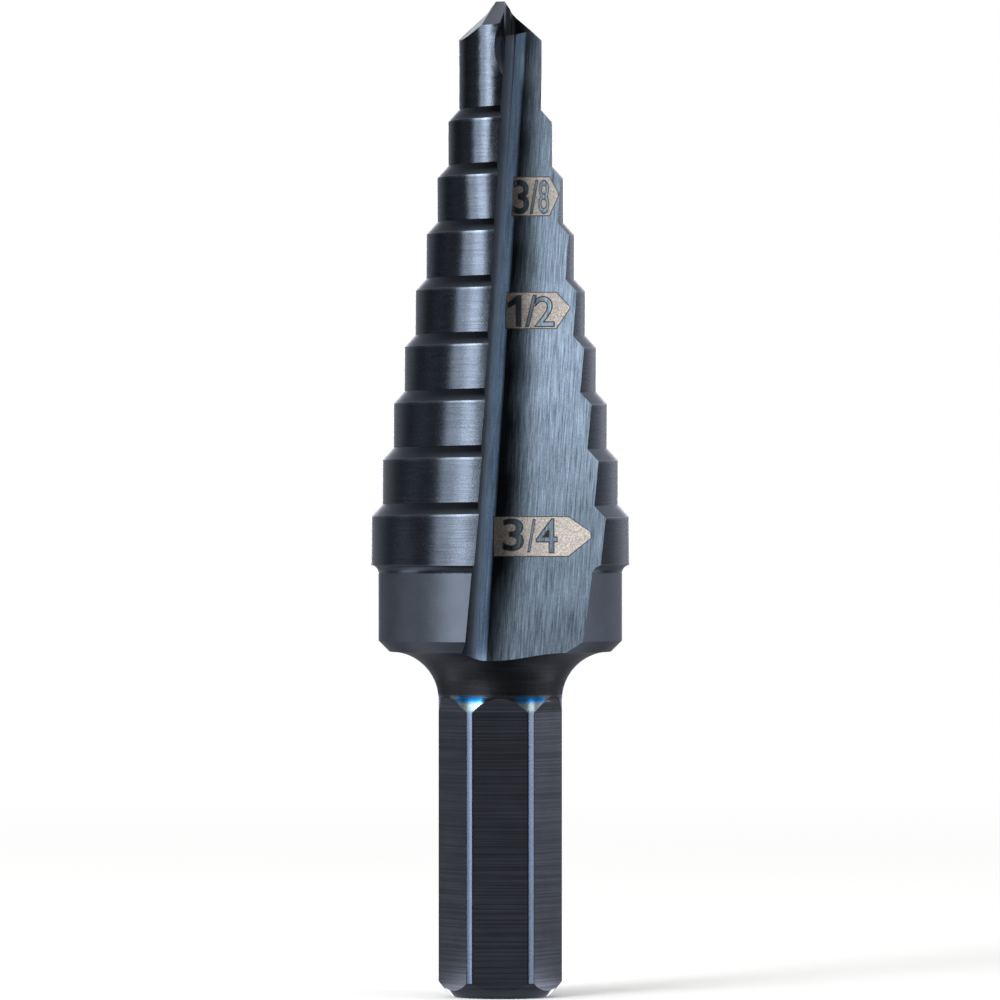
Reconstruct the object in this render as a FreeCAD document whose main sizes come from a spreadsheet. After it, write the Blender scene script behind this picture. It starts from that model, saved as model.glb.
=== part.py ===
# Step drill: nine steps, two chip flutes, split point, hexagonal shank, all one solid.
# Lengths are millimetres and angles are degrees.
# Z is the drill's own axis: the flat end of the shank lies on Z = 0 and the point is up.
# The first flute and one flat of the hexagon face -Y.
import FreeCAD, Part
import os
import Sketcher

STEP_WORDS = ["one", "two", "three", "four", "five", "six", "seven", "eight", "nine"]

# The sizes that drive the drill. Every one of them is a cell of its own.
SIZES = [
    ("overall_length", 71.9, "shank end to the tip of the point"),
    ("first_diameter", 6.35, "first step, across the cutting edges"),
    ("diameter_gain", 1.5875, "what each further step adds"),
    ("first_length", 7.64, "tip to the end of the first step, at the cutting edge"),
    ("step_pitch", 4.07, "from one step to the next along the axis"),
    ("chamfer_height", 0.88, "height of the cone that leads into each step"),
    ("radial_relief", 0.74, "radius lost in one turn behind the cutting edge"),
    ("axial_relief", 0.90, "height lost in one turn behind the cutting edge"),
    ("edge_lead", 10.0, "how far the ground land starts ahead of the front"),
    ("core_diameter", 4.0, "solid core that carries both lands"),
    ("land_root", 1.0, "radius at which the lands start, inside the core"),
    ("last_length", 40.70, "tip to the flat underside of the ninth step"),
    ("underside_radius", 0.60, "hollow corner under the ninth step"),
    ("collar_diameter", 17.60, "turned collar"),
    ("collar_length", 46.97, "tip to the underside of the collar"),
    ("collar_bevel", 0.80, "bevel at the collar's lower rim"),
    ("neck_radius", 3.50, "hollow radius between collar and shank"),
    ("shank_diameter", 8.91, "turned corners of the hexagon"),
    ("across_flats", 7.9375, "hexagon, flat to flat"),
    ("flat_length", 20.60, "full depth of the flats, from the shank end"),
    ("runout_angle", 24.0, "slope at the top of each flat, from the axis"),
    ("runout_depth", 0.90, "how far out that slope is carried"),
    ("end_bevel", 1.14, "bevel at the shank end"),
    ("bevel_crown", 4.0, "slight outward crown of that bevel, as turned"),
    ("flute_wall_offset", 1.059, "flute wall behind the axis, at the tip"),
    ("flute_wall_angle", 6.48, "flute wall turned from the X axis"),
    ("flute_rake_offset", 0.128, "rake face beside the axis, at the tip"),
    ("flute_rake_angle", 9.97, "rake face turned from the Y axis"),
    ("flute_radius", 1.50, "root of the flute"),
    ("flute_lean", 3.645, "sideways lean of the flute"),
    ("flute_rise", 8.14, "outward slope of the flute toward the shank"),
    ("flute_reach", 16.0, "how wide the flute cutter is"),
    ("flank_slope", 30.5, "point facet behind the lip"),
    ("flank_bearing", 24.2, "its direction, turned back from the front"),
    ("heel_slope", 46.0, "second point facet, further behind the lip"),
    ("heel_bearing", 75.0, "its direction, turned back from the front"),
    ("heel_lift", 0.27, "height at which the second facet passes the axis"),
    ("gash_wall_offset", 1.456, "wall of the split-point gash behind the axis, at the tip"),
    ("gash_wall_angle", 8.04, "that wall turned from the X axis"),
    ("gash_rake_offset", 0.566, "face of the gash behind the lip, beside the tip"),
    ("gash_rake_angle", -13.71, "that face turned from the Y axis"),
    ("gash_radius", 0.40, "root of the gash"),
    ("gash_lean", 0.4, "sideways lean of the gash"),
    ("gash_rise", 18.3, "outward slope of the gash"),
    ("gash_reach", 12.0, "how wide the gash cutter is"),
    ("scoop_radius", 3.70, "round cutter that hollows the lip"),
    ("scoop_side", 3.89, "its centre beside the axis"),
    ("scoop_depth", 1.70, "its centre below the tip"),
    ("scoop_swing", 11.3, "how far it swings to the side on its way forward"),
    ("scoop_drop", 28.4, "how steeply it runs down on its way forward"),
    ("scoop_stop", 0.30, "where it stops in front of the axis"),
    ("clearance", 2.0, "how far a cutter starts outside the metal"),
]

# Corners of a V-shaped cutter, drawn square to its travel, where that passes the tip.
# The same words serve the flute and the gash, each with its own sizes.
CUTTER = [
    ("{c}_wall_slope", "tan({c}_wall_angle)"),
    ("{c}_rake_slope", "tan({c}_rake_angle)"),
    ("{c}_corner_y", "({c}_wall_offset - {c}_wall_slope * {c}_rake_offset)"
                     " / (1 - {c}_wall_slope * {c}_rake_slope)"),
    ("{c}_corner_x", "{c}_rake_offset - {c}_rake_slope * {c}_corner_y"),
    ("{c}_half", "(90 - {c}_wall_angle - {c}_rake_angle) / 2"),
    ("{c}_tangent", "{c}_radius / tan({c}_half)"),
    ("{c}_rake_near_x", "{c}_corner_x + {c}_tangent * sin({c}_rake_angle)"),
    ("{c}_rake_near_y", "{c}_corner_y - {c}_tangent * cos({c}_rake_angle)"),
    ("{c}_rake_far_x", "{c}_corner_x + {c}_reach * sin({c}_rake_angle)"),
    ("{c}_rake_far_y", "{c}_corner_y - {c}_reach * cos({c}_rake_angle)"),
    ("{c}_wall_near_x", "{c}_corner_x + {c}_tangent * cos({c}_wall_angle)"),
    ("{c}_wall_near_y", "{c}_corner_y - {c}_tangent * sin({c}_wall_angle)"),
    ("{c}_wall_far_x", "{c}_corner_x + {c}_reach * cos({c}_wall_angle)"),
    ("{c}_wall_far_y", "{c}_corner_y - {c}_reach * sin({c}_wall_angle)"),
    ("{c}_shift", "clearance * tan({c}_lean)"),
    ("{c}_lift", "clearance * tan({c}_rise)"),
    ("{c}_tilt", "atan(sqrt(tan({c}_lean) * tan({c}_lean) + tan({c}_rise) * tan({c}_rise)))"),
]

# Positions that follow from the sizes.
DERIVED = [
    ("start_turn", "180 - edge_lead"),
    ("start_shrink", "radial_relief * start_turn / 360"),
    ("start_sink", "axial_relief * start_turn / 360"),
    ("land_bottom", "overall_length - last_length - clearance"),
    ("land_top", "overall_length + clearance"),
    ("core_radius", "core_diameter / 2"),
    ("shank_radius", "shank_diameter / 2"),
    ("end_radius", "shank_radius - end_bevel"),
    ("collar_radius", "collar_diameter / 2"),
    ("collar_foot", "collar_radius - collar_bevel"),
    ("last_radius", "(first_diameter + later_steps * diameter_gain) / 2"),
    ("blank_radius", "(collar_radius + last_radius) / 2"),
    ("underside_height", "overall_length - last_length"),
    ("shoulder_height", "overall_length - collar_length"),
    ("neck_height", "shoulder_height - neck_radius"),
    ("neck_rim", "shank_radius + neck_radius"),
    ("bevel_height", "shoulder_height + collar_bevel"),
    ("fillet_height", "underside_height - underside_radius"),
    ("fillet_rim", "collar_radius + underside_radius"),
    ("outside", "last_radius + clearance"),
    ("below", "-clearance"),
    ("flat_near", "-across_flats / 2"),
    ("flat_far", "-outside"),
    ("runout_near", "flat_near - runout_depth"),
    ("runout_height", "flat_length + runout_depth / tan(runout_angle)"),
    ("facet_reach", "outside"),
    ("facet_back", "-outside"),
    ("flank_front_z", "overall_length - facet_reach * tan(flank_slope)"),
    ("flank_back_z", "overall_length + facet_reach * tan(flank_slope)"),
    ("heel_front_z", "overall_length + heel_lift - facet_reach * tan(heel_slope)"),
    ("heel_back_z", "overall_length + heel_lift + facet_reach * tan(heel_slope)"),
    ("scoop_front", "first_diameter / 2 + clearance"),
    ("scoop_height", "overall_length - scoop_depth"),
]

doc = FreeCAD.newDocument("StepDrill")
sheet = doc.addObject("Spreadsheet::Sheet", "dims")


def write_sheet():
    """Put the driving sizes and the positions that follow from them into the sheet."""
    row = 1
    steps = ("later_steps", len(STEP_WORDS) - 1, "how many steps follow the first")
    for alias, value, note in SIZES + [steps]:
        sheet.set("A%d" % row, alias)
        sheet.set("B%d" % row, str(value))
        sheet.set("C%d" % row, note)
        sheet.setAlias("B%d" % row, alias)
        row += 1
    derived = list(DERIVED)
    for cutter in ("flute", "gash"):
        derived += [(a.format(c=cutter), f.format(c=cutter)) for a, f in CUTTER]
    for index, word in enumerate(STEP_WORDS):
        derived.append(("radius_" + word,
                        "(first_diameter + %d * diameter_gain) / 2 - start_shrink" % index))
        end = "overall_length - first_length - %d * step_pitch - start_sink" % index
        if index < len(STEP_WORDS) - 1:
            derived.append(("end_" + word, end))
        if index > 0:
            derived.append(("start_" + word, end + " + step_pitch - chamfer_height"))
    for alias, formula in derived:
        sheet.set("A%d" % row, alias)
        sheet.set("B%d" % row, "=" + formula)
        sheet.setAlias("B%d" % row, alias)
        row += 1
    doc.recompute()


def plane(body, role):
    """The body's own base plane of that role."""
    return [item for item in body.Origin.OriginFeatures if item.Role == role][0]


def axis_link(body, role):
    """The body's own axis of that role, as a link for a pattern."""
    return ([item for item in body.Origin.OriginFeatures if item.Role == role][0], [""])


def new_sketch(body, role, name):
    """An empty sketch on one of the body's base planes."""
    sketch = body.newObject("Sketcher::SketchObject", name)
    sketch.AttachmentSupport = [(plane(body, role), "")]
    sketch.MapMode = "FlatFace"
    return sketch


def value_of(alias):
    """The number in a cell; an empty name stands for zero."""
    return float(sheet.get(alias)) if alias else 0.0


def hold_corner(sketch, side, point, corner):
    """Tie one end of a side to its place by the two cells that name it."""
    for kind, word, alias, axis in (("DistanceX", "across", corner[0], -2),
                                    ("DistanceY", "along", corner[1], -1)):
        if not alias:
            sketch.addConstraint(Sketcher.Constraint("PointOnObject", side, point, axis))
            continue
        number = sketch.addConstraint(
            Sketcher.Constraint(kind, -1, 1, side, point, value_of(alias)))
        label = "%s_%d" % (word, side)
        sketch.renameConstraint(number, label)
        sketch.setExpression("Constraints." + label, "dims." + alias)


def arc_between(begin, end, radius, toward):
    """The shorter arc of that radius, bulging toward the given point."""
    middle = (begin + end) * 0.5
    half = (end - begin).Length / 2
    rise = radius - max(radius * radius - half * half, 0.0) ** 0.5
    direction = toward - middle
    direction.normalize()
    return Part.Arc(begin, middle + direction * rise, end)


def draw_profile(sketch, corners, arcs=None):
    """Draw a closed outline through the corners.

    Each corner is a pair of cell names. Where arcs has an entry for a side,
    that side is an arc instead of a line: the entry gives the cell of its
    radius and the two cells of the sharp corner that it rounds.
    """
    arcs = arcs or {}
    points = [FreeCAD.Vector(value_of(a), value_of(b), 0) for a, b in corners]
    count = len(points)
    turned = set()
    for side in range(count):
        begin = points[side]
        end = points[(side + 1) % count]
        if side in arcs:
            radius, sharp = arcs[side]
            toward = FreeCAD.Vector(value_of(sharp[0]), value_of(sharp[1]), 0)
            sketch.addGeometry(arc_between(begin, end, value_of(radius), toward), False)
            if (sketch.getPoint(side, 1) - begin).Length > 1e-4:
                turned.add(side)
        else:
            sketch.addGeometry(Part.LineSegment(begin, end), False)
    for side in range(count):
        after = (side + 1) % count
        sketch.addConstraint(Sketcher.Constraint(
            "Coincident", side, 1 if side in turned else 2, after, 2 if after in turned else 1))
    for side in range(count):
        if side in arcs:
            radius = arcs[side][0]
            number = sketch.addConstraint(
                Sketcher.Constraint("Radius", side, value_of(radius)))
            sketch.renameConstraint(number, "radius_%d" % side)
            sketch.setExpression("Constraints.radius_%d" % side, "dims." + radius)
        hold_corner(sketch, side, 2 if side in turned else 1, corners[side])
    doc.recompute()


def turn_about_axis(sketch, formula):
    """Turn an upright sketch about the drill's axis by an angle from the sheet."""
    sketch.AttachmentOffset = FreeCAD.Placement(
        FreeCAD.Vector(0, 0, 0), FreeCAD.Rotation(FreeCAD.Vector(0, 1, 0), 30))
    sketch.setExpression("AttachmentOffset.Rotation.Angle", formula)
    doc.recompute()


def cut_along(body, sketch, name, direction, length):
    """A pocket whose cutter travels in a direction of its own."""
    pocket = body.newObject("PartDesign::Pocket", name)
    pocket.Profile = sketch
    pocket.UseCustomVector = True
    pocket.AlongSketchNormal = True
    pocket.Type = "Length"
    for letter, formula in zip("xyz", direction):
        pocket.setExpression("Direction." + letter, formula)
    pocket.setExpression("Length", length)
    doc.recompute()
    return pocket


def cut_v_groove(body, cutter, name):
    """A V-shaped groove with a round root, from above the tip down and outward."""
    sketch = new_sketch(body, "XY_Plane", name + "Section")
    sketch.setExpression("AttachmentOffset.Base.x", "dims.%s_shift" % cutter)
    sketch.setExpression("AttachmentOffset.Base.y", "dims.%s_lift" % cutter)
    sketch.setExpression("AttachmentOffset.Base.z", "dims.land_top")
    sketch.setExpression("AttachmentOffset.Rotation.Axis.x", "-tan(dims.%s_rise)" % cutter)
    sketch.setExpression("AttachmentOffset.Rotation.Axis.y", "tan(dims.%s_lean)" % cutter)
    sketch.setExpression("AttachmentOffset.Rotation.Axis.z", "0")
    sketch.setExpression("AttachmentOffset.Rotation.Angle", "dims.%s_tilt" % cutter)
    corners = [("%s_%s_x" % (cutter, place), "%s_%s_y" % (cutter, place))
               for place in ("rake_far", "rake_near", "wall_near", "wall_far")]
    sharp = (cutter + "_corner_x", cutter + "_corner_y")
    draw_profile(sketch, corners, {1: (cutter + "_radius", sharp)})
    groove = body.newObject("PartDesign::Pocket", name)
    groove.Profile = sketch
    groove.Type = "Length"
    groove.setExpression("Length", "dims.land_top - dims.flat_length")
    doc.recompute()
    return groove


def twice_around(body, name, features):
    """Repeat features half a turn further on."""
    pattern = body.newObject("PartDesign::PolarPattern", name)
    pattern.Originals = features
    pattern.Axis = axis_link(body, "Z_Axis")
    pattern.Angle = 360
    pattern.Occurrences = 2
    body.Tip = pattern
    return pattern


write_sheet()
body = doc.addObject("PartDesign::Body", "StepDrillBody")
body.Label = "step_drill"

# Blank: shank, neck, an oversize collar and the core of the cutting part.
profile = new_sketch(body, "XZ_Plane", "BlankProfile")
draw_profile(
    profile,
    [("", ""),
     ("end_radius", ""),
     ("shank_radius", "end_bevel"),
     ("shank_radius", "neck_height"),
     ("neck_rim", "shoulder_height"),
     ("blank_radius", "shoulder_height"),
     ("blank_radius", "underside_height"),
     ("core_radius", "underside_height"),
     ("core_radius", "land_top"),
     ("", "land_top")],
    {1: ("bevel_crown", ("shank_radius", "")),
     3: ("neck_radius", ("shank_radius", "shoulder_height"))})
blank = body.newObject("PartDesign::Revolution", "TurnedBlank")
blank.Profile = profile
blank.ReferenceAxis = (profile, ["V_Axis"])
blank.Angle = 360
doc.recompute()

# Lands: the stepped outline swept half a turn while it grows and climbs a little,
# so that everything behind a cutting edge falls away from the work.
profile = new_sketch(body, "XZ_Plane", "LandProfile")
turn_about_axis(profile, "90 + dims.edge_lead")
corners = [("land_root", "land_bottom"), ("radius_nine", "land_bottom")]
for word, smaller in zip(STEP_WORDS[:0:-1], STEP_WORDS[-2::-1]):
    corners.append(("radius_" + word, "start_" + word))
    corners.append(("radius_" + smaller, "end_" + smaller))
corners += [("radius_one", "land_top"), ("land_root", "land_top")]
draw_profile(profile, corners)
land = body.newObject("PartDesign::AdditiveHelix", "ReliefGroundLand")
land.Profile = profile
land.ReferenceAxis = (profile, ["V_Axis"])
land.Mode = "height-turns-growth"
land.Turns = 0.5
land.setExpression("Height", "dims.axial_relief / 2")
land.setExpression("Growth", "dims.radial_relief")
doc.recompute()
lands = twice_around(body, "BothLands", [land])
doc.recompute()

# Collar: turned to size, with a flat underside to the ninth step and a bevelled rim.
profile = new_sketch(body, "XZ_Plane", "CollarProfile")
draw_profile(
    profile,
    [("collar_foot", "shoulder_height"),
     ("collar_radius", "bevel_height"),
     ("collar_radius", "fillet_height"),
     ("fillet_rim", "underside_height"),
     ("outside", "underside_height"),
     ("outside", "shoulder_height")],
    {2: ("underside_radius", ("collar_radius", "underside_height"))})
collar = body.newObject("PartDesign::Groove", "TurnedCollar")
collar.Profile = profile
collar.ReferenceAxis = (profile, ["V_Axis"])
collar.Angle = 360
doc.recompute()

# Hexagon: one flat with its sloped run-out, then six of them.
profile = new_sketch(body, "YZ_Plane", "FlatProfile")
draw_profile(
    profile,
    [("flat_near", "below"),
     ("flat_near", "flat_length"),
     ("runout_near", "runout_height"),
     ("flat_far", "runout_height"),
     ("flat_far", "below")])
flat = body.newObject("PartDesign::Pocket", "HexFlat")
flat.Profile = profile
flat.Midplane = True
flat.setExpression("Length", "2 * dims.outside")
doc.recompute()
hexagon = body.newObject("PartDesign::PolarPattern", "SixFlats")
hexagon.Originals = [flat]
hexagon.Axis = axis_link(body, "Z_Axis")
hexagon.Angle = 360
hexagon.Occurrences = 6
body.Tip = hexagon
doc.recompute()

# Flute: a V-shaped cutter driven down the drill, leaning to one side and working
# outward. The gash that splits the point is a second, steeper groove of that kind.
flute = cut_v_groove(body, "flute", "ChipFlute")
gash = cut_v_groove(body, "gash", "SplitPointGash")

# Scoop: a round cutter that comes from the front and hollows the face of the lip.
profile = new_sketch(body, "XZ_Plane", "ScoopProfile")
profile.setExpression("AttachmentOffset.Base.x", "-dims.scoop_front * tan(dims.scoop_swing)")
profile.setExpression("AttachmentOffset.Base.y", "-dims.scoop_front * tan(dims.scoop_drop)")
profile.setExpression("AttachmentOffset.Base.z", "dims.scoop_front")
centre = FreeCAD.Vector(value_of("scoop_side"), value_of("scoop_height"), 0)
profile.addGeometry(
    Part.Circle(centre, FreeCAD.Vector(0, 0, 1), value_of("scoop_radius")), False)
number = profile.addConstraint(
    Sketcher.Constraint("Radius", 0, value_of("scoop_radius")))
profile.renameConstraint(number, "radius_0")
profile.setExpression("Constraints.radius_0", "dims.scoop_radius")
hold_corner(profile, 0, 3, ("scoop_side", "scoop_height"))
scoop = cut_along(
    body, profile, "LipScoop",
    ("tan(dims.scoop_swing)", "1", "tan(dims.scoop_drop)"),
    "dims.scoop_front - dims.scoop_stop")


def point_facet(name, bearing, front, back):
    """A flat ground across the point, falling away toward the given bearing."""
    sketch = new_sketch(body, "XZ_Plane", name + "Profile")
    turn_about_axis(sketch, "-90 - dims." + bearing)
    draw_profile(
        sketch,
        [("facet_reach", front), ("facet_reach", back), ("facet_back", back)])
    facet = body.newObject("PartDesign::Pocket", name)
    facet.Profile = sketch
    facet.Midplane = True
    facet.setExpression("Length", "2 * dims.outside")
    doc.recompute()
    return facet


# Point: each lip has a facet close behind it and a steeper one further back.
flank = point_facet("PointFlank", "flank_bearing", "flank_front_z", "flank_back_z")
heel = point_facet("PointHeel", "heel_bearing", "heel_front_z", "heel_back_z")

# The second lip, land for land: everything ground so far, half a turn on.
twice_around(body, "SecondSide", [flute, gash, scoop, flank, heel])
doc.recompute()

problems = []
for item in doc.Objects:
    if "Invalid" in item.State or "Error" in item.State:
        problems.append("%s: %s" % (item.Name, item.State))
shape = body.Shape
if not shape.isValid() or len(shape.Solids) != 1:
    problems.append("the drill is not one valid solid")
print("step_drill", "volume", round(shape.Volume, 1), "faces", len(shape.Faces))
box = shape.optimalBoundingBox(True, False)
print("box", round(box.XLength, 3), round(box.YLength, 3), round(box.ZLength, 3))
if problems:
    raise RuntimeError("; ".join(problems))

os.makedirs("parts", exist_ok=True)
shape.exportStep("parts/%s.step" % body.Label)
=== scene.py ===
# %% [markdown]
# # Dressing a step drill
# A step drill cuts nine sizes of hole with one tool. It is ground from a single bar of
# high-speed steel, and steam turns its skin blue-black. The shape is already right: the
# construction model brings the steps, the flutes, the point and the shank. What is left
# for Blender is the steel itself, the size marks that a laser burns beside the steps, the
# light and the camera. Pieces are in metres, patterns count in millimetres, and Z is the
# drill's own axis.

# %% Load the frame
from math import radians

import bpy
import numpy as np
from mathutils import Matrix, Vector


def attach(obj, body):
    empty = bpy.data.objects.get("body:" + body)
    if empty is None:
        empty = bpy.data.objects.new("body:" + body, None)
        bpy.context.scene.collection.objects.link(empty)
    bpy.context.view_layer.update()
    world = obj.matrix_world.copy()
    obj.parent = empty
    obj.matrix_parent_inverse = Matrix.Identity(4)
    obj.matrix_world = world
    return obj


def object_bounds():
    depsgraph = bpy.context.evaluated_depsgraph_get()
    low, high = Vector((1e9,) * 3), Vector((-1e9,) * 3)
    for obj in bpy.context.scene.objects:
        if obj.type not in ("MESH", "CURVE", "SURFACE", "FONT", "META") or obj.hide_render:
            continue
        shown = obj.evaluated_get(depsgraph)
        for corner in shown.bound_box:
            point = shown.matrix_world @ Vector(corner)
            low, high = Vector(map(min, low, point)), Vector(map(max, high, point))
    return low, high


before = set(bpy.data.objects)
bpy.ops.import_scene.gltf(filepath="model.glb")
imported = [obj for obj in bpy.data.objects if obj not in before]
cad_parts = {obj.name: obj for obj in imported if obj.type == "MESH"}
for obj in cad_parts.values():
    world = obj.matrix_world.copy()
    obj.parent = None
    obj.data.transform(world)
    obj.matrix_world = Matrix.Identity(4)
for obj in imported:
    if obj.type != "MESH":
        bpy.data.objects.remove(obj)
cad_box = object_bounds()
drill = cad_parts["step_drill"]
MM = 0.001
TIP = float(cad_box[1][2])
print("drill", drill.name, "tip at %.1f mm" % (TIP / MM))

# %% [markdown]
# ## Colours and nodes
# Screen colours are written in sRGB, as a colour picker shows them, and a renderer
# calculates in linear light, so one function turns a hex value into linear numbers.
# A second one adds a shader node with its settings and its links in one line. It hands
# back the node's first output, or the node itself where a later step needs another one.
# Inputs go by name or by number. In a map range, input 0 is a value, 1 and 2 are two
# limits for it, and 3 and 4 are what comes out at those limits. Between them the output
# follows a straight slope, or a soft one where SMOOTHSTEP is set. A third function starts
# a material with an empty node tree.

# %% Three helpers
def linear(hex_value, alpha=1.0):
    """sRGB to linear: c / 12.92 below 0.04045, and ((c + 0.055) / 1.055) ** 2.4 above."""
    c = np.array([int(hex_value[i:i + 2], 16) for i in (1, 3, 5)]) / 255
    c = np.where(c <= 0.04045, c / 12.92, ((c + 0.055) / 1.055) ** 2.4)
    return (*c.tolist(), alpha)


def add(tree, kind, inputs=None, whole=False, **settings):
    """Adds one node. An input takes a plain value, or an output of another node as a link."""
    node = tree.nodes.new("ShaderNode" + kind)
    for name, value in settings.items():
        setattr(node, name, value)
    for name, value in (inputs or {}).items():
        if isinstance(value, bpy.types.NodeSocket):
            tree.links.new(value, node.inputs[name])
        else:
            node.inputs[name].default_value = value
    return node if whole or not node.outputs else node.outputs[0]


def new_material(name):
    """A material with nodes in use, and none there yet."""
    material = bpy.data.materials.new(name)
    material.use_nodes = True
    material.node_tree.nodes.clear()
    return material


print("oxide blue is", [round(v, 3) for v in linear("#2B303A")[:3]])

# %% [markdown]
# ## Camera
# The photograph was taken from straight ahead, with the lens level with the middle of the
# drill: a rim at that height shows as a straight line, and the rims above and below it
# curve a little. A long lens on a 36 mm sensor, 650 mm away, gives that view.

# %% Camera
DISTANCE = 0.65       # from the lens to the axis
FIELD = 0.07225       # width of what the picture shows at the axis
LENS_HEIGHT = 0.03588
LENS_ASIDE = -0.00002
SENSOR = 36           # in millimetres, as the lens is
camera = bpy.data.objects.new("camera", bpy.data.cameras.new("camera"))
camera.data.sensor_width = SENSOR
camera.data.lens = SENSOR * DISTANCE / FIELD
camera.data.clip_start = 0.01
camera.location = (LENS_ASIDE, -DISTANCE, LENS_HEIGHT)
camera.rotation_euler = (radians(90), 0, 0)
bpy.context.scene.collection.objects.link(camera)
bpy.context.scene.camera = camera
print("lens %.0f mm" % camera.data.lens)

# %% [markdown]
# ## Floor
# The drill stands on a large sheet of paper. A single square would do for the camera. A
# disc is used, because it ends at the same distance in every direction, also for the
# reflections in the steel.

# %% Floor
def paper_floor(radius, rings, spokes):
    """A disc on Z = 0: x = r cos(a), y = r sin(a), with r growing evenly from the middle."""
    r, a = np.meshgrid(np.linspace(0, radius, rings)[1:],
                       np.linspace(0, 2 * np.pi, spokes, endpoint=False), indexing="ij")
    grid = np.stack([r * np.cos(a), r * np.sin(a), np.zeros_like(r)], -1).reshape(-1, 3)
    points = np.vstack([[0.0, 0.0, 0.0], grid])
    i, j = np.meshgrid(np.arange(rings - 2), np.arange(spokes), indexing="ij")
    k = (j + 1) % spokes
    quads = np.stack([1 + i * spokes + j, 1 + (i + 1) * spokes + j,
                      1 + (i + 1) * spokes + k, 1 + i * spokes + k], -1).reshape(-1, 4)
    j = np.arange(spokes)
    fan = np.stack([np.zeros_like(j), 1 + j, 1 + (j + 1) % spokes], -1)
    mesh = bpy.data.meshes.new("floor")
    mesh.from_pydata(points.tolist(), [], quads.tolist() + fan.tolist())
    floor = bpy.data.objects.new("floor", mesh)
    bpy.context.scene.collection.objects.link(floor)
    return floor


floor = paper_floor(radius=3.0, rings=16, spokes=96)
print("floor of", len(floor.data.polygons), "faces")

# %% [markdown]
# The paper is a plain pale white. Away from the drill it blends into the white of the
# room, so that no horizon shows, and close to the drill it is real paper and takes the
# drill's shadow. Reflections see it as a dim sheet, as if black cards lay around the drill:
# without them the steel would look grey instead of black. On both sides of the drill they
# see a short strip of white card, which gives the steel a band from above too. A bearing
# is counted in degrees from the camera's side of the drill, to the right.

# %% Paper
def way_of(bearing):
    """The level direction at a bearing b: x = sin(b), y = -cos(b)."""
    return np.array([np.sin(radians(bearing)), -np.cos(radians(bearing)), 0.0])


STRIP_WAY = way_of(97)
STRIP_FROM, STRIP_TO = 0.30, 0.22    # where the strips begin and are full, from the axis
DIM = 0.36                           # how bright reflections see the paper
STRIP = 3.2                          # how bright they see the strips of card
REAL_TO, WHITE_FROM = 0.10, 0.45     # real paper up to here, the white of the room from there
paper = new_material("matt_paper")
tree = paper.node_tree
place = add(tree, "TexCoord", whole=True).outputs["Object"]
away = add(tree, "VectorMath", {0: place}, whole=True, operation="LENGTH").outputs["Value"]
near = add(tree, "MapRange", {0: away, 1: REAL_TO, 2: WHITE_FROM, 3: 0.0, 4: 1.0},
           interpolation_type="SMOOTHSTEP")
light = add(tree, "LightPath", whole=True).outputs
seen = add(tree, "Math", {0: light["Is Camera Ray"], 1: light["Is Transmission Ray"]},
           operation="MAXIMUM")
white = add(tree, "Math", {0: near, 1: seen}, operation="MULTIPLY")
white = add(tree, "Math", {0: white, 1: light["Is Glossy Ray"]}, operation="MAXIMUM")
strip = add(tree, "VectorMath", {0: place}, operation="NORMALIZE")
strip = add(tree, "SeparateXYZ", {0: strip}, whole=True).outputs
back = add(tree, "Math", {0: strip["Y"], 1: STRIP_WAY[1]}, operation="MULTIPLY")
strip = add(tree, "Math", {0: strip["X"]}, operation="ABSOLUTE")
strip = add(tree, "Math", {0: strip, 1: STRIP_WAY[0], 2: back}, operation="MULTIPLY_ADD")
strip = add(tree, "MapRange", {0: strip, 1: 0.968, 2: 0.99, 3: 0.0, 4: 1.0})
reach = add(tree, "MapRange", {0: away, 1: STRIP_FROM, 2: STRIP_TO, 3: 0.0, 4: 1.0})
strip = add(tree, "Math", {0: strip, 1: reach}, operation="MULTIPLY")
mirrored = add(tree, "MapRange", {0: strip, 1: 0.0, 2: 1.0, 3: DIM, 4: STRIP})
level = add(tree, "Mix", {0: light["Is Glossy Ray"], 2: 1.0, 3: mirrored})
matt = add(tree, "BsdfDiffuse", {"Color": linear("#F4F4F3")})
room = add(tree, "Emission", {"Color": (1, 1, 1, 1), "Strength": level})
both = add(tree, "MixShader", {0: white, 1: matt, 2: room})
add(tree, "OutputMaterial", {"Surface": both})
floor.data.materials.append(paper)
print("paper has", len(tree.nodes), "nodes")

# %% [markdown]
# ## Studio
# Polished steel shows what stands around it, so the studio is part of the finish. Cards
# could be flat pieces with a glowing material. Here they are directions in the world that
# only reflections see, so none of them gets into a picture. A white screen behind the
# drill on the right gives the flats there a pale sheen, and a faint glow stands on the
# left. The rest of the room is dim, and the steel goes dark there. The wall behind the
# drill and the ceiling are a little lighter. Two narrow cards, on the right and straight
# behind, are hardly mirrored by the front. They are there for the side and the back, which
# would be black without them.

# %% World
DARK, BACK_WALL, CEILING = 0.07, 0.50, 0.35
CARDS = {  # bearing, likeness at the border and in the full part of the card, strength
    "screen": (132, 0.90, 0.965, 1.05),
    "glow": (-72, 0.90, 0.99, 0.22),
    "right_card": (86, 0.965, 0.985, 2.6),
    "back_card": (180, 0.965, 0.985, 4.0),
}
world = bpy.data.worlds.new("white_room")
bpy.context.scene.world = world
world.use_nodes = True
tree = world.node_tree
tree.nodes.clear()
toward = add(tree, "TexCoord", whole=True).outputs["Generated"]
level_way = add(tree, "VectorMath", {0: toward, 1: (1, 1, 0)}, operation="MULTIPLY")
level_way = add(tree, "VectorMath", {0: level_way}, operation="NORMALIZE")
behind = add(tree, "SeparateXYZ", {0: level_way}, whole=True).outputs["Y"]
behind = add(tree, "MapRange", {0: behind, 1: 0.42, 2: 0.68, 3: DARK, 4: BACK_WALL})
above = add(tree, "SeparateXYZ", {0: toward}, whole=True).outputs["Z"]
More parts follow.
